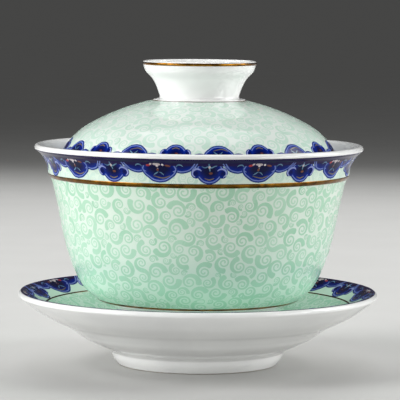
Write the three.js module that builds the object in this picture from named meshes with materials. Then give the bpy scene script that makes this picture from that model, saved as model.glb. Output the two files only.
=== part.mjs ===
// A gaiwan: a flared porcelain bowl standing in the well of its saucer, under a domed lid whose
// hollow knob is luted to the crown. Millimetres, +Z up, origin at the centre of the saucer's foot.
//
// Every piece is turned on one axis, so each is the lathe of one outline. An outline runs
// anticlockwise in the (radius, height) half plane: out along the underside, up the outer face,
// over the lip and back down the inner face.

import * as THREE from "three";

// Driving dimensions.
const FACETS = 40; // sides of each turned piece, a multiple of four so that its box is its true size
const SEAT_GAP = 0.3; // clearance where one piece rests on the next

const SAUCER = {
  footRadius: 26.8, // outside of the foot ring
  footLandRadius: 25.0, // outer edge of the flat that touches the table
  footInnerRadius: 22.6,
  footHeight: 5.0,
  footHollow: 4.7, // depth of the hollow inside the foot ring
  wellFloor: 8.2, // height of the floor that the bowl stands on
  wellRadius: 26.4, // radius of that flat floor
  wall: 3.0,
  lipWall: 1.9,
  lipRadius: 56.1, // where the outer face ends and the rounding of the lip begins
  lipHeight: 21.3,
};

const BOWL = {
  footRadius: 25.2,
  footLandRadius: 24.2,
  footInnerRadius: 21.8,
  footTop: 16.9, // height at which the foot ring meets the body
  footCeiling: 16.6, // height of the hollow inside the foot ring
  floor: 19.6, // height of the inside floor
  wall: 2.3,
  lipWall: 1.8,
  collarRadius: 47.5, // the nearly upright neck under the flared lip
  lipRadius: 51.1,
  lipHeight: 67.4,
};

const LID = {
  crownHeight: 84.36, // top of the dome, inside the knob
  crownCurve: 69.6, // radius of the arc over the crown
  crownAngle: 29.7, // degrees from the axis to where the crown turns into the shoulder
  shoulderCurve: 21.37, // radius of the arc down to the edge
  edgeAngle: 76.0, // degrees from the axis to the lid's edge
  wall: 2.3,
};

const KNOB = {
  baseRadius: 14.4, // spread of the slip fillet that joins the knob to the crown
  neckRadius: 12.42,
  neckHeight: 84.2,
  lipRadius: 17.76,
  lipHeight: 94.3,
  wall: 2.6,
  lipWall: 1.5,
  boreRadius: 9.8, // inside of the ring where it meets the crown
};

const OUTSIDE_STEPS = 2; // straight steps from one point of a drawn curve to the next
const LIP_STEPS = 4; // straight steps round a rounded lip
const ARC_STEPS = 7; // straight steps along each arc of the lid

const WHITE_PORCELAIN = new THREE.MeshStandardMaterial({ color: 0xf0f0ee, roughness: 0.15, metalness: 0 });
const CELADON_GLAZE = new THREE.MeshStandardMaterial({ color: 0xcfe8da, roughness: 0.18, metalness: 0 });

// A point of an outline: radius from the axis and height above the table.
function point(radius, height) {
  return new THREE.Vector2(radius, height);
}

// The points of a smooth curve through a few drawn points.
function curveThrough(...drawn) {
  return new THREE.SplineCurve(drawn).getPoints((drawn.length - 1) * OUTSIDE_STEPS);
}

// The points of an arc, with angles in degrees measured from the axis towards the rim.
function arc(centre, radius, fromAngle, toAngle, steps) {
  const points = [];
  for (let i = 0; i <= steps; i += 1) {
    const angle = THREE.MathUtils.degToRad(THREE.MathUtils.lerp(fromAngle, toAngle, i / steps));
    points.push(point(centre.x + radius * Math.sin(angle), centre.y + radius * Math.cos(angle)));
  }
  return points;
}

// The other face of a wall: each point of the outer face moved square to it, by a thickness that
// goes evenly from startWall to endWall over the last part of the run, from the share taperFrom.
function innerFace(outer, startWall, endWall, taperFrom) {
  return outer.map((p, i) => {
    const before = outer[Math.max(i - 1, 0)];
    const after = outer[Math.min(i + 1, outer.length - 1)];
    const along = after.clone().sub(before).normalize();
    const share = THREE.MathUtils.clamp((i / (outer.length - 1) - taperFrom) / (1 - taperFrom), 0, 1);
    const wall = THREE.MathUtils.lerp(startWall, endWall, share);
    return point(p.x - along.y * wall, p.y + along.x * wall);
  });
}

// A half-round lip from the end of the outer face to the end of the inner one.
function lipBetween(outerEnd, innerEnd) {
  const centre = outerEnd.clone().add(innerEnd).multiplyScalar(0.5);
  const spoke = outerEnd.clone().sub(centre);
  const points = [];
  for (let i = 1; i < LIP_STEPS; i += 1) {
    points.push(spoke.clone().rotateAround(new THREE.Vector2(), (Math.PI * i) / LIP_STEPS).add(centre));
  }
  return points;
}

// A wall from its outer face: the face, the lip at its end and the inner face back again.
function wallOf(outer, startWall, endWall, taperFrom) {
  const inner = innerFace(outer, startWall, endWall, taperFrom);
  return [...outer, ...lipBetween(outer.at(-1), inner.at(-1)), ...inner.reverse()];
}

// A named mesh turned from an outline. LatheGeometry turns about Y, so the result is stood up on Z.
function turned(name, outline, material) {
  const geometry = new THREE.LatheGeometry(outline, FACETS).rotateX(Math.PI / 2);
  const mesh = new THREE.Mesh(geometry, material);
  mesh.name = name;
  return mesh;
}

// The saucer: a foot ring, a flat well for the bowl's foot, and a broad rim that turns up and out.
function saucer() {
  const foot = [
    point(0, SAUCER.footHollow),
    point(SAUCER.footInnerRadius - 0.8, SAUCER.footHollow),
    point(SAUCER.footInnerRadius, SAUCER.footHollow - 0.8),
    point(SAUCER.footInnerRadius, 0),
    point(SAUCER.footLandRadius, 0),
    point(SAUCER.footRadius - 0.5, 0.9),
    point(SAUCER.footRadius, 2.4),
    point(SAUCER.footRadius + 0.5, SAUCER.footHeight - 0.9),
  ];
  const underside = curveThrough(
    point(28.6, 5.2),
    point(32.6, 6.9),
    point(36.5, 8.9),
    point(39.0, 10.7),
    point(41.8, 12.5),
    point(45.0, 14.0),
    point(50.0, 16.7),
    point(54.2, 19.7),
    point(SAUCER.lipRadius, SAUCER.lipHeight),
  );
  const well = [point(SAUCER.wellRadius, SAUCER.wellFloor), point(0, SAUCER.wellFloor)];
  const rim = wallOf(underside, SAUCER.wall, SAUCER.lipWall, 0.7);
  return turned("saucer", [...foot, ...rim, ...well], WHITE_PORCELAIN);
}

// The bowl: a foot ring that stands in the saucer's well, a body that swells from it, an upright
// collar above a slight shoulder, and a lip that flares out to be held by the fingers.
function bowl() {
  const footBottom = SAUCER.wellFloor + SEAT_GAP;
  const foot = [
    point(0, BOWL.footCeiling),
    point(BOWL.footInnerRadius - 0.8, BOWL.footCeiling),
    point(BOWL.footInnerRadius, BOWL.footCeiling - 0.8),
    point(BOWL.footInnerRadius, footBottom),
    point(BOWL.footLandRadius, footBottom),
    point(BOWL.footRadius - 0.3, footBottom + 0.8),
    point(BOWL.footRadius, BOWL.footTop),
    point(BOWL.footRadius + 0.9, BOWL.footTop + 1.1),
  ];
  const outside = curveThrough(
    point(28.4, 19.1),
    point(31.4, 20.5),
    point(35.6, 24.0),
    point(38.8, 29.6),
    point(41.9, 38.9),
    point(44.5, 51.5),
    point(46.0, 57.9),
    point(BOWL.collarRadius - 0.4, 60.0),
    point(BOWL.collarRadius, 62.9),
    point(49.5, 66.2),
    point(BOWL.lipRadius, BOWL.lipHeight),
  );
  const wall = wallOf(outside, BOWL.wall, BOWL.lipWall, 0.8);
  return turned("bowl", [...foot, ...wall, point(0, BOWL.floor)], CELADON_GLAZE);
}

// The centres of the lid's two arcs: the crown's is on the axis, and the shoulder's lies on the
// crown's spoke at the angle where one arc runs into the other.
function lidCentres() {
  const crown = point(0, LID.crownHeight - LID.crownCurve);
  const [shoulder] = arc(crown, LID.crownCurve - LID.shoulderCurve, LID.crownAngle, LID.crownAngle, 1);
  return { crown, shoulder };
}

// The lid's dome: a shallow crown turning into a rounder shoulder, of even thickness.
function lidDome() {
  const { crown, shoulder } = lidCentres();
  const face = (inset) => [
    ...arc(shoulder, LID.shoulderCurve - inset, LID.edgeAngle, LID.crownAngle, ARC_STEPS),
    ...arc(crown, LID.crownCurve - inset, LID.crownAngle, 0, ARC_STEPS).slice(1),
  ];
  const outside = face(0);
  const inside = face(LID.wall).reverse();
  const edge = lipBetween(inside.at(-1), outside[0]);
  return turned("lid_dome", [...inside, ...edge, ...outside], CELADON_GLAZE);
}

// The lid's knob: a waisted, flared ring, open at the top, that sits on the crown.
function lidKnob() {
  const { crown } = lidCentres();
  const seatCurve = LID.crownCurve + SEAT_GAP;
  const seatAt = (radius) => point(radius, crown.y + Math.sqrt(seatCurve ** 2 - radius ** 2));
  const fillet = [seatAt(KNOB.baseRadius), point(KNOB.neckRadius + 0.5, KNOB.neckHeight - 0.7)];
  const outside = curveThrough(
    point(KNOB.neckRadius, KNOB.neckHeight),
    point(13.4, 87.0),
    point(14.8, 89.6),
    point(16.9, 91.9),
    point(KNOB.lipRadius, KNOB.lipHeight),
  );
  const wall = wallOf(outside, KNOB.wall, KNOB.lipWall, 0.5);
  const outline = [seatAt(KNOB.boreRadius), ...fillet, ...wall];
  return turned("lid_knob", [...outline, outline[0].clone()], WHITE_PORCELAIN);
}

const gaiwan = new THREE.Group();
gaiwan.name = "gaiwan";
gaiwan.add(saucer(), bowl(), lidDome(), lidKnob());

export default gaiwan;
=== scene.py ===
"""The looks of a gaiwan: a lidded porcelain bowl on its saucer, with a celadon scroll ground, a lobed
cobalt border and gilt lines.

Every piece is turned on the Z axis. Outlines and drawings are in millimetres and become metres when a
mesh is made. An outline is a run of (radius, height) points. A decoration is drawn flat, in (across,
down) millimetres, then laid on a glazed face as enamel up to 0.15 mm thick.
"""
import functools
import math

import bpy
import numpy as np
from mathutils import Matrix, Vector
from mathutils.geometry import delaunay_2d_cdt


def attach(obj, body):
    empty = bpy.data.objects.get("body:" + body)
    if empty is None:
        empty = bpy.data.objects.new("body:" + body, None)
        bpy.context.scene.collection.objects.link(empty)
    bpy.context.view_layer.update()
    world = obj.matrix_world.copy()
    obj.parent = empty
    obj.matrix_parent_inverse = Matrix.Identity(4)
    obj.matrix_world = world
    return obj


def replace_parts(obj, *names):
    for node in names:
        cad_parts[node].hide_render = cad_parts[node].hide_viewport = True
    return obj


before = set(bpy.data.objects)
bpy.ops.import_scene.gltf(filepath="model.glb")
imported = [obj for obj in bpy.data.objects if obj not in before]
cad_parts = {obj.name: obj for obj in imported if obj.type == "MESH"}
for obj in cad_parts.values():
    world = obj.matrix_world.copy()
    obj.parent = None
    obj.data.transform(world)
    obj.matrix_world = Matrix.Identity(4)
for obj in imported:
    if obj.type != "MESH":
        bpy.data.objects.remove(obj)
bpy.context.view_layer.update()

MM = 0.001
TURN = 2 * math.pi

# ------------------------------
# Dimensions of the pieces, in millimetres above the table. They are the CAD's own, but for KNOB_SINK:
# the knob's base sits that far into the crown, where the CAD leaves a gap.

SAUCER_FOOT = [(0, 4.7), (22.6, 4.7), (22.6, 0), (25.0, 0), (26.8, 2.4), (27.3, 4.1), (28.6, 5.2)]
SAUCER_FOOT_ROUNDING = (0.8, 0.35, 0.7, 1.0, 0.25)
SAUCER_WELL = [(26.4, 8.2), (0, 8.2)]
SAUCER_WELL_ROUNDING = (1.5,)
SAUCER_UNDERSIDE = [(28.6, 5.2), (32.6, 6.9), (36.5, 8.9), (39.0, 10.7), (41.8, 12.5), (45.0, 14.0),
                    (50.0, 16.7), (54.2, 19.7), (56.1, 21.3)]
SAUCER_WALL = {"walls": (3.0, 1.9), "taper_from": 0.7}
BOWL_FOOT = [(0, 16.6), (21.8, 16.6), (21.8, 8.5), (24.2, 8.5), (24.9, 9.3), (25.2, 16.9), (28.4, 19.1)]
BOWL_FOOT_ROUNDING = (0.8, 0.35, 0.5, 0.5, 1.6)
BOWL_FLOOR = (0, 19.6)
BOWL_OUTSIDE = [(28.4, 19.1), (31.4, 20.5), (35.6, 24.0), (38.8, 29.6), (41.9, 38.9), (44.5, 51.5),
                (46.0, 57.9), (47.1, 60.0), (47.5, 62.9), (49.5, 66.2), (51.1, 67.4)]
BOWL_WALL = {"walls": (2.3, 1.8), "taper_from": 0.8}
CROWN = {"height": 84.36, "curve": 69.6}
SHOULDER = {"curve": 21.37, "from": 29.7, "edge": 76.0}
LID_WALL = 2.3
KNOB_BASE = 14.4
KNOB_BORE = 9.8
KNOB_OUTSIDE = [(12.42, 84.2), (13.4, 87.0), (14.8, 89.6), (16.9, 91.9), (17.76, 94.3)]
KNOB_WALL = {"walls": (2.6, 1.5), "taper_from": 0.5}
KNOB_FILLET = [(14.35, 83.15), (12.5, 83.55)]
KNOB_FILLET_ROUNDING = (0.15, 0.15, 0.5)
KNOB_SINK = 0.05

# How finely the pieces are made.
SEGMENTS = 192
CURVE_STEPS = 8
LIP_STEPS = 14
LIP_FULLNESS = 0.9
ARC_STEPS = 44
CORNER_STEPS = 5

# The columns of an outline.
RADIUS, HEIGHT = 0, 1

# ------------------------------
# Dimensions of the decoration, in millimetres. A face's places are radii on the saucer and the lid, and
# heights on the bowl and the knob. Motif angles, in degrees, are those of one broad lobe and one trefoil.
# BARE_RISE is how far the bare clay comes up a foot.

BARE_RISE = 0.15
SAUCER_CELADON = (29.0, 55.2)
SAUCER_SCROLL_END = 29.2
SAUCER_RING, SAUCER_RING_WIDTH = 47.9, 0.6
SAUCER_BORDER_TOP, SAUCER_BORDER_GAP = 55.6, 0.2
SAUCER_MOTIFS = (6.5, 24.5)
BOWL_CELADON = (20.6, 66.5)
BOWL_FOOT_LINE_WIDTH = 1.3
BOWL_BAND, BOWL_BAND_WIDTH = 59.35, 1.6
BOWL_COLLAR_TOP, COLLAR_CURL = 66.0, 2.4
BOWL_BORDER_TOP, BOWL_BAND_START = 67.0, -0.6
BOWL_MOTIFS = (-104.0, -86.2)
LID_CELADON = (13.0, 44.4)
LID_BORDER_END, LID_BORDER_STRETCH = 39.5, 1.02
LID_SCROLL_INSET = 0.6
LID_MOTIFS = (-81.7, -99.7)
SEAM_GAP, SEAM_WIDTH = 0.1, 0.3
KNOB_LINE, KNOB_LINE_WIDTH = 94.35, 0.9

SCROLL_LIFT = 0.02
ENAMEL_LIFT = 0.03
LAYER = 0.015
ENAMEL_SINK = 0.06
LINE_HEIGHT, LINE_FULLNESS, LINE_STATIONS = 0.14, 1.02, 9

# A stroke's round end has stations at these angles, in degrees, and bulges by this share of half its width.
END_SWING = (78, 55, 28)
END_FULLNESS = 0.55

# Filled outlines: the steps along them and across them, how clear of them points stay as a share of the
# step or the inset, and the sides of the round ones.
OUTLINE_STEP, EDGE_STEP, FILL_STEP, DAB_STEP = 0.14, 0.3, 0.45, 0.4
GRID_CLEARANCE, INSET_CLEARANCE = 0.4, 0.96
DAB_SIDES, SIDE_LOBE_SIDES = 16, 24

# The scroll ground. Each size from BIG_CURL up has at most BIG_CURLS_PER_PAIR curls for each pair.
SCROLL_GAP = 0.22
SPOTS_PER_MM2 = 2.5
SNUG_TRIES, SNUG_PLACES = 200, 50
CURL_TURNS = 20
LARGEST_CURL, SMALLEST_CURL, CURL_STEP = 4.4, 1.35, 0.1
BIG_CURL, BIG_CURLS_PER_PAIR = 3.4, 1.2
PAIRS_PER_MM2 = 0.003
PAIR_SIZES = (3.1, 4.0)
DROP_SIZES = (1.0, 0.75)
# A curl takes up a disc round its eye and one at each of these numbers of turns in along its tail. No
# disc farther from its eye than NEAR_SIZES of its sizes and NEAR_MARGIN can touch it.
COIL = 0.46
TAIL_DISCS = (0, 0.1, 0.2, 0.3, 0.42)
NEAR_SIZES, NEAR_MARGIN = 2.6, 1

BORDER_RADIUS = 50.5
BAND_DEPTH = 1.45
MOTIF_REPEATS = 10
MOTIF_HEIGHT = 7.0

# Glazes of a turned piece, cobalt colours and accent colours, by their place in a piece's materials.
PLAIN, GROUND, BARE = range(3)
COBALT, BLUE, PALE, NAVY, LILAC = range(5)
WHITE, ICE, RED, RUST, OLIVE = range(5)

# The mint tint deepens between these two heights, in millimetres, towards the foot. This is partly the
# glaze's own deeper mint where it pooled, and partly a painted brightening that stands in for light bounced
# up from below on to the lower bowl and the saucer.
MINT_HEIGHTS = (52, 19)

# The cobalt mirrors less of the room than the glaze does, which keeps it deep.
COBALT_SHINE = {"coat": 0.1, "ior": 1.22}

# The glaze's ripple and unevenness of gloss: noise size in millimetres and detail, then their strength.
RIPPLE, RIPPLE_DEPTH = (5.5, 2), (0.035, 0.6)
SHEEN, SHEEN_ROUGHNESS = (9, 4), (0.1, 0.2)

# How widely the soft lights throw, in degrees, so that they don't burn out the floor beside them, and
# the place in metres that they face.
LIGHT_SPREAD = 110
LIGHT_AIM = (0, 0, 0.05)

# The floor is a disc, its radius in metres.
FLOOR_RADIUS = 60
FLOOR_SEGMENTS = 96

# The upward part of a direction at which the room's shade is at its overhead value.
OVERHEAD = 0.7

CAMERA = {"sensor": 36, "lens": 227.7, "elevation": 4.72, "distance": 0.794, "roll": 0.45,
          "aim": (0.45, 0, 51.5)}


# ------------------------------
# Outlines

def curve_through(points, steps=CURVE_STEPS):
    """A smooth curve through a few drawn points, the same uniform spline as the CAD's."""
    p = np.array(points, float)
    padded = np.vstack([p[:1], p, p[-1:]])
    out = [p[0]]
    for i in range(len(p) - 1):
        a, b, c, d = padded[i:i + 4]
        for k in range(1, steps + 1):
            t = k / steps
            v0, v1 = (c - a) / 2, (d - b) / 2
            out.append((2 * b - 2 * c + v0 + v1) * t ** 3 + (3 * c - 3 * b - 2 * v0 - v1) * t ** 2
                       + v0 * t + b)
    return np.array(out)


def circle(sides):
    """The points of a unit circle."""
    a = np.arange(sides) * TURN / sides
    return np.stack([np.cos(a), np.sin(a)], axis=1)


def arc(centre, radius, start, end, steps=ARC_STEPS):
    """An arc, with angles in degrees measured from the axis towards the rim."""
    a = np.radians(np.linspace(start, end, steps + 1))
    return np.stack([centre[0] + radius * np.sin(a), centre[1] + radius * np.cos(a)], axis=1)


def directions(points):
    """The unit direction of travel at each point of an outline."""
    step = np.gradient(points, axis=0)
    return step / np.linalg.norm(step, axis=1)[:, None]


def inner_face(outer, walls, taper_from):
    """The other face of a wall whose thickness goes from walls[0] to walls[1] over its last part."""
    along = directions(outer)
    share = np.clip((np.linspace(0, 1, len(outer)) - taper_from) / (1 - taper_from), 0, 1)
    wall = walls[0] + (walls[1] - walls[0]) * share
    return outer + np.stack([-along[:, 1], along[:, 0]], axis=1) * wall[:, None]


def lip_between(start, end, steps=LIP_STEPS):
    """A half-round lip that turns anticlockwise from start to end, without those two points."""
    centre, spoke = (start + end) / 2, (start - end) / 2
    a = np.linspace(0, math.pi, steps + 1)[1:-1]
    rise = np.array([-spoke[1], spoke[0]]) * LIP_FULLNESS
    return centre + np.cos(a)[:, None] * spoke + np.sin(a)[:, None] * rise


def rounded(points, radii, steps=CORNER_STEPS):
    """A run of straight edges with each inner corner rounded by its radius in radii."""
    p = np.array(points, float)
    out = [p[0]]
    for before, corner, after, radius in zip(p, p[1:], p[2:], radii):
        a, b = before - corner, after - corner
        reach_a, reach_b = np.linalg.norm(a), np.linalg.norm(b)
        cut = min(radius, reach_a / 2, reach_b / 2)
        start, end = corner + a / reach_a * cut, corner + b / reach_b * cut
        for t in np.linspace(0, 1, steps + 1):
            out.append((1 - t) ** 2 * start + 2 * t * (1 - t) * corner + t ** 2 * end)
    return np.array(out + [p[-1]])


def banded(outline, test, inside, outside):
    """Runs of an outline for turned(): inside where test(radius, height) holds, outside elsewhere."""
    runs = []
    for a, b in zip(outline, outline[1:]):
        material = inside if test(*((a + b) / 2)) else outside
        if runs and runs[-1][1] == material:
            runs[-1][0].append(b)
        else:
            runs.append(([a, b], material))
    return runs


# ------------------------------
# Meshes

def new_object(name, verts, faces, materials, slots_of_faces, body):
    """A smooth mesh object, in metres, that rides on a CAD body."""
    mesh = bpy.data.meshes.new(name)
    mesh.from_pydata((np.asarray(verts) * MM).tolist(), [], faces)
    for material in materials:
        mesh.materials.append(material)
    mesh.polygons.foreach_set("material_index", slots_of_faces)
    mesh.polygons.foreach_set("use_smooth", [True] * len(faces))
    mesh.update()
    piece = bpy.data.objects.new(name, mesh)
    bpy.context.scene.collection.objects.link(piece)
    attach(piece, body)
    return piece


def turned(name, runs, materials, body, closed=False):
    """A piece turned from runs of outline, [(points, material index), ...], each going on from the last."""
    points, owner = [np.asarray(runs[0][0][0])], []
    for run, material in runs:
        for p in run:
            if np.linalg.norm(p - points[-1]) > 1e-4:
                points.append(np.asarray(p))
                owner.append(material)
    if closed:
        owner.append(runs[-1][1])
    verts, first = [], []
    for radius, height in points:
        first.append(len(verts))
        if radius < 1e-6:
            verts.append((0, 0, height))
        else:
            verts.extend((radius * c, radius * s, height) for c, s in circle(SEGMENTS))
    faces, slots = [], []
    count = len(points)
    for i in range(count if closed else count - 1):
        j = (i + 1) % count
        for k in range(SEGMENTS):
            n = (k + 1) % SEGMENTS
            low = [first[i] + k, first[i] + n] if points[i][0] > 1e-6 else [first[i]]
            high = [first[j] + n, first[j] + k] if points[j][0] > 1e-6 else [first[j]]
            faces.append(low + high)
            slots.append(owner[i])
    return new_object(name, verts, faces, materials, slots, body)


class Skin:
    """A glazed face that decoration lies on: an outline walked by its length, down being 0 at the start.

    Its points go from where a drawing hangs to where it ends, and side is +1 if the air is on the left."""

    def __init__(self, outline, side):
        self.points, self.side = np.asarray(outline), side
        self.lengths = np.concatenate([[0], np.cumsum(np.linalg.norm(np.diff(self.points, axis=0), axis=1))])
        along = directions(self.points)
        self.out = np.stack([-along[:, 1], along[:, 0]], axis=1) * side

    def down_at(self, axis, value):
        """The length down at which the face reaches a RADIUS or HEIGHT."""
        column = self.points[:, axis]
        sense = 1 if column[-1] > column[0] else -1
        return np.interp(sense * value, sense * column, self.lengths)

    def radius(self, down):
        return np.interp(down, self.lengths, self.points[:, 0])

    def place(self, angle, down, lift):
        """3-D points for angles round the axis, lengths down the face and heights above the glaze."""
        r, z = (np.interp(down, self.lengths, self.points[:, k]) for k in (RADIUS, HEIGHT))
        out_r, out_z = (np.interp(down, self.lengths, self.out[:, k]) for k in (RADIUS, HEIGHT))
        r = r + out_r * lift
        return np.stack([r * np.cos(angle), r * np.sin(angle), z + out_z * lift], axis=1)

    def normals(self, angle, down):
        """The glaze's own outward direction at each of those places."""
        return self.place(angle, down, 1) - self.place(angle, down, 0)


class Patch:
    """A flat drawing in one enamel: (across, down) points, faces that run anticlockwise with down drawn
    upwards, a material index, a height above the glaze, and a tone for each point, 0 at an edge to 1."""

    def __init__(self, points, faces, colour, lift, tone):
        self.points, self.faces, self.colour, self.lift, self.tone = points, faces, colour, lift, tone


class Enamel:
    """Patches laid on one skin as thin closed slabs, which together become one object."""

    def __init__(self, skin):
        self.skin = skin
        self.verts, self.normals, self.faces, self.facing, self.colours, self.tones = [], [], [], [], [], []
        self.count = 0

    def lay(self, patch, angle, down):
        """Adds a patch, given the angle round the axis and the length down the skin of each point."""
        n = len(patch.points)
        faces = [face[::-1] for face in patch.faces] if self.skin.side > 0 else patch.faces
        edges = {(a, b) for face in faces for a, b in zip(face, face[1:] + face[:1])}
        walls = [[b, a, n + a, n + b] for a, b in sorted(edges) if (b, a) not in edges]
        backs = [[n + v for v in reversed(face)] for face in faces]
        self.faces.extend([self.count + v for v in face] for face in faces + backs + walls)
        self.facing += [1] * len(faces) + [-1] * len(backs) + [0] * len(walls)
        self.colours += [patch.colour] * (len(faces) + len(backs) + len(walls))
        self.verts += [self.skin.place(angle, down, patch.lift), self.skin.place(angle, down, -ENAMEL_SINK)]
        self.normals += [self.skin.normals(angle, down)] * 2
        self.tones += [patch.tone, patch.tone]
        self.count += 2 * n

    def lay_about(self, patch, angle, down):
        """Adds a patch in its true size about one place on the skin."""
        downs = down + patch.points[:, 1]
        self.lay(patch, angle + patch.points[:, 0] / self.skin.radius(downs), downs)

    def made(self, name, materials, body, slot):
        """One object, whose faces shade as the glaze under them does and whose edges stay crisp."""
        piece = new_object(name, np.concatenate(self.verts), self.faces, materials, self.colours, body)
        mesh = piece.data
        tone = mesh.attributes.new("tone", "FLOAT", "POINT")
        tone.data.foreach_set("value", np.concatenate(self.tones).astype(np.float32))
        corner_verts = np.zeros(len(mesh.loops), np.int32)
        mesh.loops.foreach_get("vertex_index", corner_verts)
        face_normals = np.zeros(len(mesh.polygons) * 3, np.float32)
        mesh.polygons.foreach_get("normal", face_normals)
        sizes = [len(face) for face in self.faces]
        facing = np.repeat(self.facing, sizes)[:, None]
        flat = np.repeat(face_normals.reshape(-1, 3), sizes, axis=0)
        glaze = np.concatenate(self.normals)[corner_verts] * facing
        mesh.normals_split_custom_set(np.where(facing == 0, flat, glaze).tolist())
        return piece


# ------------------------------
# Flat drawing

def stroke(path, widths, colour, lift):
    """A brush line with round ends along a path, given its full width at each point."""
    p = np.asarray(path, float)
    half = np.asarray(widths, float) / 2
    along = directions(p)
    swing = np.radians(END_SWING)
    reach = END_FULLNESS * np.sin(swing)
    start = [(p[0] - along[0] * half[0] * r, half[0] * math.cos(a), along[0])
             for a, r in zip(swing, reach)]
    end = [(p[-1] + along[-1] * half[-1] * r, half[-1] * math.cos(a), along[-1])
           for a, r in zip(swing[::-1], reach[::-1])]
    stations = start + list(zip(p, half, along)) + end
    across = np.array([(-d[1] * h, d[0] * h) for _, h, d in stations])
    middle = np.array([c for c, _, _ in stations])
    n = len(stations)
    faces = [[i, n + i, n + i + 1, i + 1] for i in range(n - 1)]
    tone = np.linspace(0, 1, n)
    return Patch(np.concatenate([middle + across, middle - across]), faces, colour, lift,
                 np.concatenate([tone, tone]))


def swelling(length, widest):
    """Full widths for a brush line of some points that swells to its middle and thins at both ends."""
    return widest * (0.35 + 0.65 * np.sin(np.linspace(0, math.pi, length)))


def even_ring(outline, step=OUTLINE_STEP):
    """A closed outline's points, an even step apart and anticlockwise."""
    p = np.asarray(outline, float)
    closed = np.vstack([p, p[:1]])
    lengths = np.concatenate([[0], np.cumsum(np.linalg.norm(np.diff(closed, axis=0), axis=1))])
    at = np.linspace(0, lengths[-1], int(lengths[-1] / step) + 1)[:-1]
    ring = np.stack([np.interp(at, lengths, closed[:, k]) for k in (0, 1)], axis=1)
    after = np.roll(ring, -1, axis=0)
    doubled_area = (ring[:, 0] * after[:, 1] - ring[:, 1] * after[:, 0]).sum()
    return ring if doubled_area > 0 else ring[::-1]


def nearness(points, ring):
    """How far each point is from a ring of points."""
    return np.array([np.hypot(*(ring - p).T).min() for p in points])


def inset(outline, by):
    """A closed outline moved inwards, with the loops that this makes at its tight corners cut off."""
    ring = even_ring(outline)
    along = np.roll(ring, -1, axis=0) - np.roll(ring, 1, axis=0)
    along /= np.linalg.norm(along, axis=1)[:, None]
    moved = ring + np.stack([-along[:, 1], along[:, 0]], axis=1) * by
    return moved[nearness(moved, ring) > by * INSET_CLEARANCE]


def filled(outline, colour, lift, step=FILL_STEP, depth=1.0):
    """A closed outline filled with small triangles. The tone reaches 1 at a depth from its free edge."""
    ring = even_ring(outline, min(step, EDGE_STEP))
    low, high = ring.min(0), ring.max(0)
    grid = np.array([(x, y) for x in np.arange(low[0] + step / 2, high[0], step)
                     for y in np.arange(low[1] + step / 2, high[1], step)]).reshape(-1, 2)
    inner = grid[nearness(grid, ring) > step * GRID_CLEARANCE] if len(grid) else grid
    points = [Vector(p) for p in np.vstack([ring, inner]).tolist()]
    verts, _, faces, *_ = delaunay_2d_cdt(points, [], [list(range(len(ring)))], 1, 1e-5)
    used = sorted({v for face in faces for v in face})
    index = {v: i for i, v in enumerate(used)}
    points = np.array([verts[v] for v in used])
    free_edge = ring[ring[:, 1] > BAND_DEPTH] if (ring[:, 1] > BAND_DEPTH).any() else ring
    tone = np.clip(nearness(points, free_edge) / depth, 0, 1)
    return Patch(points, [[index[v] for v in face] for face in faces], colour, lift, tone)


def blob(x, y, across, down, colour, lift, lean=0):
    """A small oval dab of enamel, leaning by some degrees."""
    c, s = math.cos(math.radians(lean)), math.sin(math.radians(lean))
    oval = circle(DAB_SIDES) * (across / 2, down / 2)
    leaning = oval @ np.array([[c, s], [-s, c]])
    return filled(leaning + (x, y), colour, lift, DAB_STEP, max(across, down) / 2)


def mirrored(half):
    """A closed outline from its right half, which starts and ends on the centre line."""
    half = np.asarray(half, float)
    return np.concatenate([half, half[-2:0:-1] * (-1, 1)])


def flipped(points):
    return np.asarray(points, float) * (-1, 1)


# ------------------------------
# The scroll ground

def curl_reach(way):
    """How far a curl's middle line is from its eye, some turns in from its tail, for an outer reach of 1."""
    return 0.47 * (1 - way / 1.85) ** 0.6 + 0.22 * np.exp(-(way / 0.34) ** 2.2)


def curl_half_width(way):
    return 0.055 + 0.165 * np.exp(-(way / 0.32) ** 1.5)


def curl(size, turn, hand, shade):
    """A comma-shaped scroll: a blunt tail that winds in by nearly two turns to an eye.

    turn is the way that its tail lies, hand is +1 or -1 for the way it winds, and shade is from 0 to 1."""
    way = np.linspace(0, 1.8, 32)
    angle = turn + hand * way * TURN
    path = size * curl_reach(way)[:, None] * np.stack([np.cos(angle), np.sin(angle)], axis=1)
    patch = stroke(path, 2 * size * curl_half_width(way), 0, SCROLL_LIFT)
    patch.tone = patch.tone * 0.5 + 0.5 * shade
    return patch


def drop(room, turn, hand):
    """A small drop with a bent tail, for a gap between the curls."""
    way = np.linspace(-0.75, 0.5, 9)
    path = room * np.stack([way, hand * 0.4 * way ** 2], axis=1)
    c, s = math.cos(turn), math.sin(turn)
    widths = room * np.interp(np.linspace(0, 1, 9), (0, 0.75, 1), (0.3, 1.2, 1.1))
    return stroke(path @ np.array([[c, s], [-s, c]]), widths, 0, SCROLL_LIFT)


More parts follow.
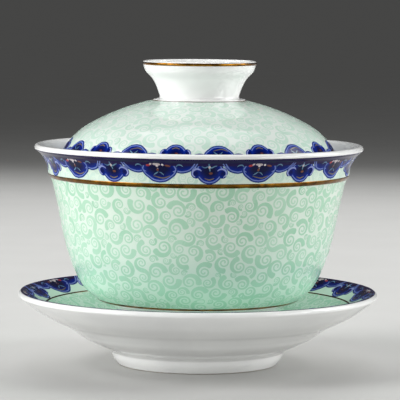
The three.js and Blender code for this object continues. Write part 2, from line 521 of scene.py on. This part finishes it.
class Ground:
    """A face being covered with curls, which each take up a few discs: one for the coil round its eye
    and some along its tail. Spots are random places to try, and room is how far each is from a disc."""

    def __init__(self, skin, start, end, rng):
        way = np.linspace(start, end, 200)
        share = np.cumsum(skin.radius(way))
        area = TURN * skin.radius(way).mean() * (end - start)
        count = int(area * SPOTS_PER_MM2)
        self.rng, self.ends = rng, (start, end)
        self.down = np.interp(rng.random(count) * share[-1], share, way)
        self.angle = rng.random(count) * TURN
        self.radius = skin.radius(self.down)
        self.room = np.minimum(self.down - start, end - self.down)
        self.discs = np.zeros((0, 3))
        self.pairs = int(area * PAIRS_PER_MM2)

    def take(self, angle, down, size):
        """Takes up one disc."""
        self.discs = np.vstack([self.discs, (angle, down, size)])
        turn = (self.angle - angle + math.pi) % TURN - math.pi
        distance = np.hypot(turn * self.radius, self.down - down)
        self.room = np.minimum(self.room, distance - size - SCROLL_GAP)

    def take_curl(self, spot, size, turn, hand):
        angle, down = self.angle[spot], self.down[spot]
        for x, y, disc in curl_discs(size, np.array([turn]), hand)[0]:
            self.take(angle + x / self.radius[spot], down + y, disc)
        return angle, down, size, turn, hand

    def curl_at(self, spot, size):
        """The snuggest turn for a curl at a spot, taken up if it fits there at all."""
        turn = (self.discs[:, 0] - self.angle[spot] + math.pi) % TURN - math.pi
        x, y = turn * self.radius[spot], self.discs[:, 1] - self.down[spot]
        near = np.hypot(x, y) < NEAR_SIZES * size + NEAR_MARGIN
        turns = (self.rng.random() + np.arange(CURL_TURNS)) / CURL_TURNS * TURN
        best = None
        for hand in self.rng.permutation((-1, 1)):
            discs = curl_discs(size, turns, hand)[:, 1:]
            gaps = (self.ends[1] - self.down[spot] - discs[:, :, 1] - discs[:, :, 2],
                    self.down[spot] + discs[:, :, 1] - discs[:, :, 2] - self.ends[0])
            clear = np.minimum(*gaps).min(axis=1)
            if near.any():
                apart = np.hypot(discs[:, :, 0, None] - x[near], discs[:, :, 1, None] - y[near])
                apart = apart - self.discs[near, 2] - discs[:, :, 2, None] - SCROLL_GAP
                clear = np.minimum(clear, apart.min(axis=(1, 2)))
            for k in np.nonzero(clear >= 0)[0]:
                if best is None or clear[k] < best[0]:
                    best = clear[k], turns[k], hand
        return best and self.take_curl(spot, size, *best[1:])

    def curls(self, size, most):
        """Curls of one size, where they fit, up to a number."""
        found = []
        while len(found) < most:
            fits = np.nonzero(self.room >= COIL * size)[0]
            tries = self.rng.choice(fits, min(SNUG_TRIES, len(fits)), replace=False)
            snug = tries[np.argsort(self.room[tries])][:SNUG_PLACES]
            placed = next(filter(None, (self.curl_at(spot, size) for spot in snug)), None)
            if placed is None:
                break
            found.append(placed)
        return found

    def pair(self, size):
        """Two curls whose tails run into each other as an S."""
        fits = np.nonzero(self.room >= size)[0]
        first = self.rng.choice(fits)
        turn = (self.angle[fits] - self.angle[first] + math.pi) % TURN - math.pi
        across, along = turn * self.radius[first], self.down[fits] - self.down[first]
        best = np.argmin(np.abs(np.hypot(across, along) - 2 * curl_reach(0) * size))
        way, hand = math.atan2(along[best], across[best]), self.rng.choice((-1, 1))
        return [self.take_curl(first, size, way, hand),
                self.take_curl(fits[best], size, way + math.pi, hand)]

    def drops(self, size):
        """The places of drops of one size, wherever one still fits."""
        found = []
        while len(fits := np.nonzero(self.room >= size)[0]):
            spot = fits[np.argmin(self.room[fits])]
            self.take(self.angle[spot], self.down[spot], size)
            found.append((self.angle[spot], self.down[spot]))
        return found


def curl_discs(size, turns, hand):
    """The (x, y, size) discs that a curl takes up, for each of some turns."""
    angle = turns[:, None] + hand * TURN * np.array([0, *TAIL_DISCS])
    reach = np.array([0, *(curl_reach(way) for way in TAIL_DISCS)])
    sizes = np.array([COIL, *(curl_half_width(way) for way in TAIL_DISCS)])
    return size * np.stack([reach * np.cos(angle), reach * np.sin(angle), sizes + 0 * angle], axis=2)


def scroll_ground(name, skin, start, end, paint, seed, body, largest=LARGEST_CURL):
    """Curls of all sizes fitted together over a face, some joined in pairs, with drops in the gaps."""
    rng = np.random.default_rng(seed)
    ground = Ground(skin, start, end, rng)
    enamel = Enamel(skin)
    pairs = ground.pairs if largest > max(PAIR_SIZES) else 0
    curls = [half for _ in range(pairs) for half in ground.pair(rng.uniform(*PAIR_SIZES))]
    for size in np.arange(largest, SMALLEST_CURL, -CURL_STEP):
        most = math.inf if size < BIG_CURL else int(ground.pairs * BIG_CURLS_PER_PAIR)
        curls += ground.curls(size, most)
    for angle, down, size, turn, hand in curls:
        enamel.lay_about(curl(size, turn, hand, rng.random()), angle, down)
    for size in DROP_SIZES:
        for angle, down in ground.drops(size):
            enamel.lay_about(drop(size, rng.random() * TURN, rng.choice((-1, 1))), angle, down)
    return enamel.made(name, [paint], body, "scroll_enamel")


# ------------------------------
# The cobalt border. Its drawings hang from the rim: x runs along it and y away from it, in
# millimetres at BORDER_RADIUS.

def cobalt_lobe(outline, lift, depth=2.2):
    """A lobe: a mid-blue edge, a pale line just inside it, and a cobalt heart that darkens inwards."""
    return [filled(outline, BLUE, lift),
            filled(inset(outline, 0.42), PALE, lift + LAYER),
            filled(inset(outline, 0.74), COBALT, lift + 2 * LAYER, depth=depth)]


def broad_motif():
    """A wide lobe hung over two low shoulders, with a fringe of coloured dabs along its top."""
    lobe = mirrored(np.vstack([[(0, 0.4), (4.6, 0.4)], curve_through(
        [(5.3, 1.2), (5.85, 2.6), (5.1, 4.2), (3.7, 5.35), (2.1, 6.3), (0, 6.65)])]))
    shoulder = np.vstack([[(3.6, 0.4), (4.2, 3.3)], curve_through(
        [(5.2, 3.5), (6.8, 3.85), (8.2, 3.7), (9.6, 3.25), (10.9, 2.3), (12.2, 0.4)])])
    cobalt = cobalt_lobe(shoulder, ENAMEL_LIFT) + cobalt_lobe(flipped(shoulder), ENAMEL_LIFT)
    cobalt += cobalt_lobe(lobe, ENAMEL_LIFT + 3 * LAYER)
    top = ENAMEL_LIFT + 7 * LAYER
    side_line = curve_through([(4.3, 3.3), (5.1, 2.9), (5.35, 2.1)])
    crescent = curve_through([(-2.1, 4.6), (1.0, 5.25), (3.3, 4.5)])
    outer_edge, inner_edge = (curve_through([(x, 0.2), (x - 0.8, 1.4), (x - 2.0, 2.7)])
                              for x in (12.3, 11.5))
    for line in (side_line, outer_edge, inner_edge):
        cobalt += [stroke(side, swelling(len(side), 0.34), PALE, top) for side in (line, flipped(line))]
    right_leg = curve_through([(0.0, 3.4), (0.7, 3.75), (1.3, 4.3)])
    left_leg = curve_through([(-0.3, 3.3), (-1.0, 3.7), (-1.9, 4.25)])
    hook = curve_through([(5.4, 1.75), (6.0, 1.15), (6.9, 1.15), (7.5, 1.6)])
    dabs = [stroke(crescent, swelling(len(crescent), 0.32), OLIVE, top),
            stroke(left_leg, swelling(len(left_leg), 0.36), ICE, top),
            stroke(right_leg, swelling(len(right_leg), 0.3), ICE, top),
            blob(-0.5, 2.65, 0.75, 1.0, RUST, top), blob(-0.35, 2.25, 0.35, 0.4, WHITE, top + LAYER),
            blob(-0.6, 1.0, 2.5, 0.8, WHITE, top, 4), blob(-0.5, 1.5, 0.8, 0.7, WHITE, top + LAYER),
            blob(-3.3, 1.35, 1.5, 0.7, RED, top, -8), blob(-2.5, 0.95, 1.1, 0.6, WHITE, top, -35),
            blob(1.25, 1.15, 0.8, 0.65, WHITE, top, 30), blob(2.8, 1.45, 1.9, 0.6, RUST, top, 12)]
    dabs += [stroke(line, swelling(len(line), 0.36), ICE, top) for line in (hook, flipped(hook))]
    return cobalt, dabs


def trefoil_motif():
    """A small lobe between two side curls, with a four-pointed star over it."""
    lobe = mirrored(np.vstack([[(0, 0.4), (3.4, 0.4)], curve_through(
        [(4.4, 2.2), (4.3, 4.2), (3.55, 5.25), (2.6, 6.15), (1.5, 6.75), (0, 7.0)])]))
    disc = 1.65 * circle(SIDE_LOBE_SIDES) + (4.15, 3.65)
    cobalt = cobalt_lobe(lobe, ENAMEL_LIFT + 3 * LAYER)
    for side in (disc, flipped(disc)):
        cobalt += [filled(side, BLUE, ENAMEL_LIFT),
                   filled(inset(side, 0.3), COBALT, ENAMEL_LIFT + 5 * LAYER, depth=1.4)]
    top = ENAMEL_LIFT + 7 * LAYER
    side_curl = curve_through([(2.5, 2.9), (3.2, 2.4), (4.2, 2.35), (5.15, 3.0), (5.3, 4.0), (4.5, 4.85)])
    cobalt += [stroke(line, swelling(len(line), 0.55), LILAC, top)
               for line in (side_curl, flipped(side_curl))]
    crescent = curve_through([(-1.5, 5.2), (0, 5.65), (1.5, 5.2)])
    arm = curve_through([(-2.4, 1.5), (-1.5, 1.9), (-0.4, 1.6), (0.6, 1.9), (1.5, 1.5), (2.2, 1.3)])
    spine = curve_through([(-0.35, 0.5), (-0.1, 1.6), (0.15, 3.0)])
    dabs = [stroke(crescent, swelling(len(crescent), 0.35), OLIVE, top),
            stroke(arm, swelling(len(arm), 0.4), ICE, top),
            stroke(spine, swelling(len(spine), 0.5), ICE, top),
            blob(-0.05, 1.75, 0.7, 0.9, WHITE, top + LAYER), blob(0.45, 3.65, 1.3, 0.75, RUST, top)]
    return cobalt, dabs


def rim_band(start):
    """The dark band that the motifs hang from, all the way round."""
    columns, rows = 2 * SEGMENTS, np.linspace(start, BAND_DEPTH, 4)
    x = np.arange(columns) * TURN / columns * BORDER_RADIUS
    points = np.array([(across, down) for down in rows for across in x])
    faces = [[r * columns + k, r * columns + (k + 1) % columns, (r + 1) * columns + (k + 1) % columns,
              (r + 1) * columns + k] for r in range(len(rows) - 1) for k in range(columns)]
    tone = np.repeat((1, 1, 1, 0.6), columns)
    return Patch(points, faces, NAVY, ENAMEL_LIFT + 6 * LAYER, tone)


def border(name, skin, down_of, motif_angles, body, band_start=0):
    """Broad and trefoil motifs by turns round a rim. down_of turns a drawing's y into length down the
    skin, and motif_angles are the angles, in degrees, of one motif of each kind."""
    cobalt, dabs = Enamel(skin), Enamel(skin)

    def lay(enamel, patch, turn):
        enamel.lay(patch, turn + patch.points[:, 0] / BORDER_RADIUS, down_of(patch.points[:, 1]))

    lay(cobalt, rim_band(band_start), 0)
    for (blues, accents), first in zip((broad_motif(), trefoil_motif()), motif_angles):
        for k in range(MOTIF_REPEATS):
            turn = math.radians(first + k * 360 / MOTIF_REPEATS)
            for enamel, patches in ((cobalt, blues), (dabs, accents)):
                for patch in patches:
                    lay(enamel, patch, turn)
    cobalt.made(name, [cobalt_wash(), mid_blue(), pale_blue(), navy(), lilac()], body, "cobalt_enamel")
    dabs.made(name + "_dabs", [white_dab(), ice_dab(), red_dab(), rust_dab(), olive_dab()], body,
              "accent_enamel")


# ------------------------------
# Materials

def linear(red, green, blue):
    """A linear colour from 0-255 display values."""
    return tuple(v / 12.92 if v <= 0.04045 else ((v + 0.055) / 1.055) ** 2.4
                 for v in (red / 255, green / 255, blue / 255)) + (1,)


class Shader:
    """A material and its node tree, with the few kinds of node that these glazes are made from."""

    def __init__(self, name, **sockets):
        self.material = bpy.data.materials.new(name)
        self.material.use_nodes = True
        self.nodes, self.links = self.material.node_tree.nodes, self.material.node_tree.links
        self.surface = self.nodes["Principled BSDF"]
        for socket, value in sockets.items():
            self.surface.inputs[socket.replace("_", " ")].default_value = value
        self.place = self.nodes.new("ShaderNodeTexCoord").outputs["Object"]

    def noise(self, size, detail=3, distortion=0):
        """Noise from 0 to 1 whose features are about size millimetres across."""
        node = self.nodes.new("ShaderNodeTexNoise")
        node.inputs["Scale"].default_value = 1 / (size * MM)
        node.inputs["Detail"].default_value = detail
        node.inputs["Distortion"].default_value = distortion
        self.links.new(self.place, node.inputs["Vector"])
        return node.outputs["Fac"]

    def lowness(self):
        """0 above the upper of MINT_HEIGHTS and 1 below the lower."""
        apart = self.nodes.new("ShaderNodeSeparateXYZ")
        self.links.new(self.place, apart.inputs["Vector"])
        node = self.nodes.new("ShaderNodeMapRange")
        node.interpolation_type = "SMOOTHSTEP"
        node.inputs["From Min"].default_value, node.inputs["From Max"].default_value = (
            height * MM for height in MINT_HEIGHTS)
        self.links.new(apart.outputs["Z"], node.inputs["Value"])
        return node.outputs["Result"]

    def attribute(self, name):
        node = self.nodes.new("ShaderNodeAttribute")
        node.attribute_name = name
        return node.outputs["Fac"]

    def ramp(self, factor, stops):
        """A colour for a factor, from (position, colour) stops."""
        node = self.nodes.new("ShaderNodeValToRGB")
        elements = node.color_ramp.elements
        while len(elements) < len(stops):
            elements.new(0.5)
        for element, (position, colour) in zip(elements, stops):
            element.position, element.color = position, colour
        self.links.new(factor, node.inputs["Fac"])
        return node.outputs["Color"]

    def mix(self, factor, a, b):
        """Colour b laid over colour a by a factor. Each is a socket or a value."""
        node = self.nodes.new("ShaderNodeMix")
        node.data_type = "RGBA"
        for socket, value in zip(("Factor_Float", "A_Color", "B_Color"), (factor, a, b)):
            target = next(s for s in node.inputs if s.identifier == socket)
            if isinstance(value, bpy.types.NodeSocket):
                self.links.new(value, target)
            else:
                target.default_value = value
        return next(s for s in node.outputs if s.identifier == "Result_Color")

    def scaled(self, factor, low, high):
        """A factor from 0 to 1 mapped on to low to high."""
        node = self.nodes.new("ShaderNodeMapRange")
        node.inputs["To Min"].default_value, node.inputs["To Max"].default_value = low, high
        self.links.new(factor, node.inputs["Value"])
        return node.outputs["Result"]

    def bump(self, height, depth, strength=1.0):
        """Relief of some millimetres from a height factor."""
        node = self.nodes.new("ShaderNodeBump")
        node.inputs["Strength"].default_value = strength
        node.inputs["Distance"].default_value = depth * MM
        self.links.new(height, node.inputs["Height"])
        self.links.new(node.outputs["Normal"], self.surface.inputs["Normal"])

    def done(self, colour, roughness):
        self.links.new(colour, self.surface.inputs["Base Color"])
        self.links.new(roughness, self.surface.inputs["Roughness"])
        return self.material


def glaze(name, deep, pale, size, low=None):
    """Porcelain glaze: clear and glossy, faintly uneven in colour where it pooled, gently rippled, and
    of another colour towards the foot if low is given: a deeper mint, also brightened there as painted light
    bounced up from below. Its colours are display values."""
    shader = Shader(name, Coat_Weight=0.5, Coat_Roughness=0.03, IOR=1.45)
    cloud = shader.noise(size, 3, 0.4)
    speck = shader.noise(0.35, 2)
    colour = shader.ramp(cloud, [(0.3, linear(*deep)), (0.7, linear(*pale))])
    # Towards the foot: the glaze's own deeper mint, and a painted brightening for light bounced up from
    # below.
    if low:
        colour = shader.mix(shader.lowness(), colour, linear(*low))
    colour = shader.mix(shader.scaled(speck, 0, 0.12), colour, linear(*deep))
    shader.bump(shader.noise(*RIPPLE), *RIPPLE_DEPTH)
    return shader.done(colour, shader.scaled(shader.noise(*SHEEN), *SHEEN_ROUGHNESS))


@functools.cache
def white_glaze():
    return glaze("white_glaze", (231, 232, 231), (244, 245, 243), size=26)


@functools.cache
def celadon_glaze():
    # Its low colour is deeper mint and also brighter: painted light bounced up on to the lower bowl and the
    # saucer.
    return glaze("celadon_glaze", (207, 226, 211), (219, 233, 221), size=14,
                 low=(214, 241, 225))


@functools.cache
def pale_celadon_glaze():
    """The lid's own glaze, which is nearly white."""
    return glaze("pale_celadon_glaze", (213, 225, 217), (224, 232, 226), size=14)


def enamel_paint(name, tones, wash, washed, size, coat=0.35, ior=1.4, low=None, places=(0, 1)):
    """Enamel under the clear glaze, rippled as that is. Its colour follows the tone of the drawing through
    tones, display values at places from 0 to 1, and the brush's wash breaks it up towards washed."""
    shader = Shader(name, Coat_Weight=coat, Coat_Roughness=0.03, IOR=ior)
    stops = [(place, linear(*tone)) for place, tone in zip(places, tones)]
    colour = shader.ramp(shader.attribute("tone"), stops)
    # Towards the foot: the enamel's own deeper mint, and a painted brightening for light bounced up from
    # below.
    if low:
        colour = shader.mix(shader.scaled(shader.lowness(), 0, 0.75), colour, linear(*low))
    colour = shader.mix(shader.scaled(shader.noise(size, 3, 0.6), 0, wash), colour, linear(*washed))
    shader.bump(shader.noise(*RIPPLE), *RIPPLE_DEPTH)
    return shader.done(colour, shader.scaled(shader.noise(*SHEEN), *SHEEN_ROUGHNESS))


@functools.cache
def scroll_green():
    # Its low colour is deeper mint and also brighter: painted light bounced up on to the lower bowl and the
    # saucer.
    return enamel_paint("scroll_green", [(146, 199, 166), (188, 221, 199)],
                        wash=0.5, washed=(188, 222, 200), size=6, low=(174, 228, 202))


@functools.cache
def scroll_mist():
    """The same green, thinner, for the lid and the bowl's collar."""
    return enamel_paint("scroll_mist", [(178, 211, 193), (204, 224, 213)],
                        wash=0.5, washed=(208, 226, 216), size=6)


@functools.cache
def cobalt_wash():
    return enamel_paint("cobalt_wash", [(0, 42, 150), (0, 26, 118), (0, 14, 82), (0, 6, 50)],
                        wash=0.5, washed=(0, 10, 64), size=1.6, places=(0, 0.3, 0.7, 1), **COBALT_SHINE)


@functools.cache
def mid_blue():
    return enamel_paint("mid_blue", [(14, 44, 116), (12, 40, 110)],
                        wash=0.5, washed=(30, 66, 136), size=1.2, **COBALT_SHINE)


@functools.cache
def pale_blue():
    return enamel_paint("pale_blue", [(92, 112, 182), (84, 104, 176)],
                        wash=0.7, washed=(132, 148, 204), size=1.0, **COBALT_SHINE)


@functools.cache
def lilac():
    return enamel_paint("lilac", [(136, 148, 206), (166, 174, 220)],
                        wash=0.6, washed=(112, 128, 194), size=0.8, **COBALT_SHINE)


@functools.cache
def navy():
    return enamel_paint("navy", [(22, 16, 76), (28, 18, 66)],
                        wash=0.4, washed=(36, 22, 68), size=2.2, **COBALT_SHINE)


@functools.cache
def white_dab():
    return enamel_paint("white_dab", [(186, 172, 176), (232, 226, 228)],
                        wash=0.5, washed=(170, 158, 164), size=0.8)


@functools.cache
def ice_dab():
    return enamel_paint("ice_dab", [(64, 98, 146), (122, 162, 180)],
                        wash=0.8, washed=(56, 96, 132), size=0.8)


@functools.cache
def red_dab():
    return enamel_paint("red_dab", [(150, 24, 44), (196, 60, 64)],
                        wash=0.5, washed=(120, 20, 36), size=0.7)


@functools.cache
def rust_dab():
    return enamel_paint("rust_dab", [(88, 44, 40), (146, 78, 52)],
                        wash=0.5, washed=(90, 44, 34), size=0.7)


@functools.cache
def olive_dab():
    return enamel_paint("olive_dab", [(112, 104, 62), (132, 120, 76)],
                        wash=0.6, washed=(70, 66, 58), size=0.8)


@functools.cache
def seam_brown():
    """The thin dull line round the knob's base."""
    return enamel_paint("seam_brown", [(92, 74, 60), (92, 74, 60)],
                        wash=0.6, washed=(62, 48, 40), size=2.0)


@functools.cache
def gilt():
    """Burnished bronze-gold: brush-laid, so it is thinner and duller in streaks. Its colours are also darker
    than the gilding's own, as a painted reflection of a dark room.
    """
    shader = Shader("gilt", Metallic=1.0)
    streak = shader.noise(3.0, 4, 0.8)
    # The darkness of these colours is partly a painted reflection of a dark room. The streaks are the
    # gilding's own.
    colour = shader.ramp(streak, [(0.3, linear(74, 48, 12)), (0.7, linear(160, 110, 36))])
    shader.bump(shader.noise(0.6, 3), 0.03, 0.6)
    return shader.done(colour, shader.scaled(shader.noise(1.4, 3), 0.14, 0.28))


@functools.cache
def bare_clay():
    """The unglazed land that a foot stands on: matt, warm and finely grained."""
    shader = Shader("bare_clay", IOR=1.45)
    grain = shader.noise(0.25, 4)
    colour = shader.ramp(shader.noise(4, 4), [(0.3, linear(206, 192, 174)), (0.7, linear(224, 214, 200))])
    colour = shader.mix(shader.scaled(grain, 0, 0.25), colour, linear(182, 162, 140))
    shader.bump(grain, 0.06, 0.8)
    return shader.done(colour, shader.scaled(grain, 0.7, 0.9))


# ------------------------------
# The pieces

def line_ring(name, skin, down, width, paint, body):
    """A line laid round a skin, raised and rounded, with its back sunk in the glaze."""
    spots = np.linspace(-1, 1, LINE_STATIONS)
    rise = LINE_HEIGHT * np.sqrt(LINE_FULLNESS - spots ** 2)
    face = skin.place(np.zeros(LINE_STATIONS), down + spots * width / 2, rise)
    back = skin.place(np.zeros(2), down + np.array([0.5, -0.5]) * width, -np.full(2, LINE_HEIGHT))
    outline = np.vstack([face, back])[:, [0, 2]]
    outline = outline[::-1] if skin.side > 0 else outline
    return turned(name, [(outline, 0)], [paint], body, closed=True)


def gilt_ring(name, skin, down, width, body):
    return line_ring(name, skin, down, width, gilt(), body)


def between(limits, axis):
    """A test for banded() that holds between two values of RADIUS or HEIGHT."""
    return lambda *place: limits[0] < place[axis] < limits[1]


def foot_bands(foot):
    """A foot's runs for turned(), bare on the land that it stands on."""
    land = foot[:, HEIGHT].min() + BARE_RISE
    return banded(foot, lambda radius, height: height < land, BARE, PLAIN)


def saucer():
    underside = curve_through(SAUCER_UNDERSIDE)
    upper = inner_face(underside, **SAUCER_WALL)
    lip = lip_between(underside[-1], upper[-1])
    foot = rounded(SAUCER_FOOT, SAUCER_FOOT_ROUNDING)
    skin = Skin(np.vstack([lip[len(lip) // 2:], upper[::-1]]), -1)
    glazes = [white_glaze(), celadon_glaze(), bare_clay()]
    runs = foot_bands(foot)
    runs += [(np.vstack([foot[-1:], underside, lip]), PLAIN)]
    runs += banded(np.vstack([lip[-1:], upper[::-1]]), between(SAUCER_CELADON, RADIUS), GROUND, PLAIN)
    runs += [(rounded([upper[0], *SAUCER_WELL], SAUCER_WELL_ROUNDING), PLAIN)]
    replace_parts(turned("saucer_body", runs, glazes, "saucer"), "saucer")
    rim = skin.down_at(RADIUS, SAUCER_BORDER_TOP)
    ring = skin.down_at(RADIUS, SAUCER_RING)
    scroll_end = skin.down_at(RADIUS, SAUCER_SCROLL_END)
    scroll_ground("saucer_scroll", skin, ring, scroll_end, scroll_green(), seed=3, body="saucer")
    stretch = (ring - SAUCER_BORDER_GAP - rim) / MOTIF_HEIGHT
    border("saucer_border", skin, lambda y: rim + y * stretch, SAUCER_MOTIFS, "saucer")
    gilt_ring("saucer_gilt", skin, ring, SAUCER_RING_WIDTH, "saucer")


def bowl():
    outside = curve_through(BOWL_OUTSIDE)
    inside = inner_face(outside, **BOWL_WALL)
    lip = lip_between(outside[-1], inside[-1])
    foot = rounded(BOWL_FOOT, BOWL_FOOT_ROUNDING)
    skin = Skin(np.vstack([lip[:len(lip) // 2][::-1], outside[::-1]]), 1)
    glazes = [white_glaze(), celadon_glaze(), bare_clay()]
    runs = foot_bands(foot)
    runs += banded(np.vstack([foot[-1:], outside]), between(BOWL_CELADON, HEIGHT), GROUND, PLAIN)
    runs += [(np.vstack([outside[-1:], lip, inside[::-1], [BOWL_FLOOR]]), PLAIN)]
    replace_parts(turned("bowl_body", runs, glazes, "bowl"), "bowl")
    foot_line = skin.down_at(HEIGHT, BOWL_CELADON[0])
    band = skin.down_at(HEIGHT, BOWL_BAND)
    collar = skin.down_at(HEIGHT, BOWL_COLLAR_TOP)
    scroll_ground("bowl_scroll", skin, band, foot_line, scroll_green(), seed=5, body="bowl")
    scroll_ground("bowl_collar_scroll", skin, collar, band, scroll_mist(), seed=6, body="bowl",
                  largest=COLLAR_CURL)
    border("bowl_border", skin, lambda y: skin.down_at(HEIGHT, BOWL_BORDER_TOP - y), BOWL_MOTIFS, "bowl",
           BOWL_BAND_START)
    gilt_ring("bowl_gilt_band", skin, band, BOWL_BAND_WIDTH, "bowl")
    gilt_ring("bowl_gilt_foot", skin, foot_line, BOWL_FOOT_LINE_WIDTH, "bowl")


def crown_centre():
    return 0, CROWN["height"] - CROWN["curve"]


def shoulder_centre():
    """The shoulder's arc meets the crown's at the same slope, so its centre lies on the crown's spoke."""
    across, up = crown_centre()
    spoke, reach = math.radians(SHOULDER["from"]), CROWN["curve"] - SHOULDER["curve"]
    return across + reach * math.sin(spoke), up + reach * math.cos(spoke)


def lid_face(depth):
    """The dome's outline at a depth into its wall, from its edge to the crown."""
    shoulder = arc(shoulder_centre(), SHOULDER["curve"] - depth, SHOULDER["edge"], SHOULDER["from"])
    crown = arc(crown_centre(), CROWN["curve"] - depth, SHOULDER["from"], 0)
    return np.vstack([shoulder, crown[1:]])


def lid_dome():
    outer, inner = lid_face(0), lid_face(LID_WALL)
    lip = lip_between(inner[0], outer[0])
    skin = Skin(outer, -1)
    runs = [(np.vstack([inner[::-1], lip, outer[:1]]), PLAIN)]
    runs += banded(outer, between(LID_CELADON, RADIUS), GROUND, PLAIN)
    dome = turned("lid_dome_body", runs, [white_glaze(), pale_celadon_glaze()], "lid")
    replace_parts(dome, "lid_dome")
    rim = skin.down_at(RADIUS, LID_BORDER_END) - MOTIF_HEIGHT * LID_BORDER_STRETCH
    seam = skin.down_at(RADIUS, KNOB_BASE + SEAM_GAP)
    scroll_ground("lid_scroll", skin, rim + LID_SCROLL_INSET, seam, scroll_mist(), seed=7, body="lid")
    line_ring("lid_seam_line", skin, seam, SEAM_WIDTH, seam_brown(), "lid")
    border("lid_border", skin, lambda y: rim + y * LID_BORDER_STRETCH, LID_MOTIFS, "lid")


def lid_knob():
    outside = curve_through(KNOB_OUTSIDE)
    inside = inner_face(outside, **KNOB_WALL)
    lip = lip_between(outside[-1], inside[-1])
    seat = [(r, crown_centre()[1] + math.sqrt(CROWN["curve"] ** 2 - r ** 2) - KNOB_SINK)
            for r in (KNOB_BORE, KNOB_BASE)]
    base = rounded([*seat, *KNOB_FILLET, outside[0]], KNOB_FILLET_ROUNDING)
    runs = [(np.vstack([base, outside, lip, inside[::-1]]), PLAIN)]
    knob = turned("lid_knob_body", runs, [white_glaze()], "lid", closed=True)
    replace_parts(knob, "lid_knob")
    skin = Skin(np.vstack([lip[len(lip) // 2::-1], outside[::-1]]), 1)
    gilt_ring("knob_gilt", skin, skin.down_at(HEIGHT, KNOB_LINE), KNOB_LINE_WIDTH, "lid")


# ------------------------------
# The stage

def floor():
    """A wide pale sheet."""
    rim = [(x, y, 0) for x, y in (FLOOR_RADIUS * circle(FLOOR_SEGMENTS)).tolist()]
    mesh = bpy.data.meshes.new("floor")
    mesh.from_pydata(rim, [], [range(FLOOR_SEGMENTS)])
    shader = Shader("floor_paper", Specular_IOR_Level=0)
    colour = shader.ramp(shader.noise(40, 3), [(0.3, linear(187, 187, 185)), (0.7, linear(190, 190, 188))])
    mesh.materials.append(shader.done(colour, shader.scaled(shader.noise(3, 2), 0.7, 0.85)))
    sheet = bpy.data.objects.new("floor", mesh)
    bpy.context.scene.collection.objects.link(sheet)


def softbox(name, place, size, power, mirrored_in_glaze=True):
    """A rectangular soft light, in metres and watts, that faces the object."""
    light = bpy.data.lights.new(name, "AREA")
    light.shape, light.size, light.size_y, light.energy = "RECTANGLE", size[0], size[1], power
    light.spread = math.radians(LIGHT_SPREAD)
    lamp = bpy.data.objects.new(name, light)
    lamp.location = place
    lamp.rotation_mode = "QUATERNION"
    lamp.rotation_quaternion = (Vector(LIGHT_AIM) - Vector(place)).to_track_quat("-Z", "Y")
    lamp.visible_camera = False
    lamp.visible_glossy = mirrored_in_glaze
    bpy.context.scene.collection.objects.link(lamp)


def surroundings(low, high):
    """A dim room whose shade goes from low at the horizon to high overhead."""
    world = bpy.data.worlds.new("studio")
    world.use_nodes = True
    nodes, links = world.node_tree.nodes, world.node_tree.links
    way = nodes.new("ShaderNodeSeparateXYZ")
    links.new(nodes.new("ShaderNodeTexCoord").outputs["Generated"], way.inputs["Vector"])
    shade = nodes.new("ShaderNodeMapRange")
    shade.inputs["From Max"].default_value = OVERHEAD
    shade.inputs["To Min"].default_value, shade.inputs["To Max"].default_value = low, high
    links.new(way.outputs["Z"], shade.inputs["Value"])
    links.new(shade.outputs["Result"], nodes["Background"].inputs["Strength"])
    nodes["Background"].inputs["Color"].default_value = (1, 1, 1, 1)
    bpy.context.scene.world = world


def camera():
    """A little above the rim, looking slightly down: a long lens at under a metre."""
    data = bpy.data.cameras.new("camera")
    data.sensor_width, data.lens = CAMERA["sensor"], CAMERA["lens"]
    data.clip_start, data.clip_end = 0.01, 2 * FLOOR_RADIUS
    lens = bpy.data.objects.new("camera", data)
    pitch = math.radians(CAMERA["elevation"])
    aim = Vector(CAMERA["aim"]) * MM
    lens.location = aim + Vector((0, -math.cos(pitch), math.sin(pitch))) * CAMERA["distance"]
    lens.rotation_euler = (math.pi / 2 - pitch, 0, 0)
    lens.rotation_euler.rotate_axis("Z", math.radians(CAMERA["roll"]))
    bpy.context.scene.collection.objects.link(lens)
    bpy.context.scene.camera = lens


def stage():
    floor()
    softbox("key", (-0.8, -0.2, 0.45), (0.5, 0.8), 3.45)
    softbox("right", (0.88, 0.12, 0.45), (0.5, 0.7), 2.45)
    softbox("top", (0.0, 0.2, 1.0), (0.8, 0.6), 0.9)
    softbox("back", (0.0, 0.9, 0.55), (1.0, 0.4), 3.3, mirrored_in_glaze=False)
    softbox("low left", (-0.95, -0.6, 0.13), (0.6, 0.26), 1.6)
    softbox("low right", (0.95, -0.6, 0.13), (0.6, 0.26), 1.7)
    surroundings(low=0.068, high=0.13)
    bpy.context.scene.view_settings.view_transform = "Standard"
    camera()


saucer()
bowl()
lid_dome()
lid_knob()
stage()
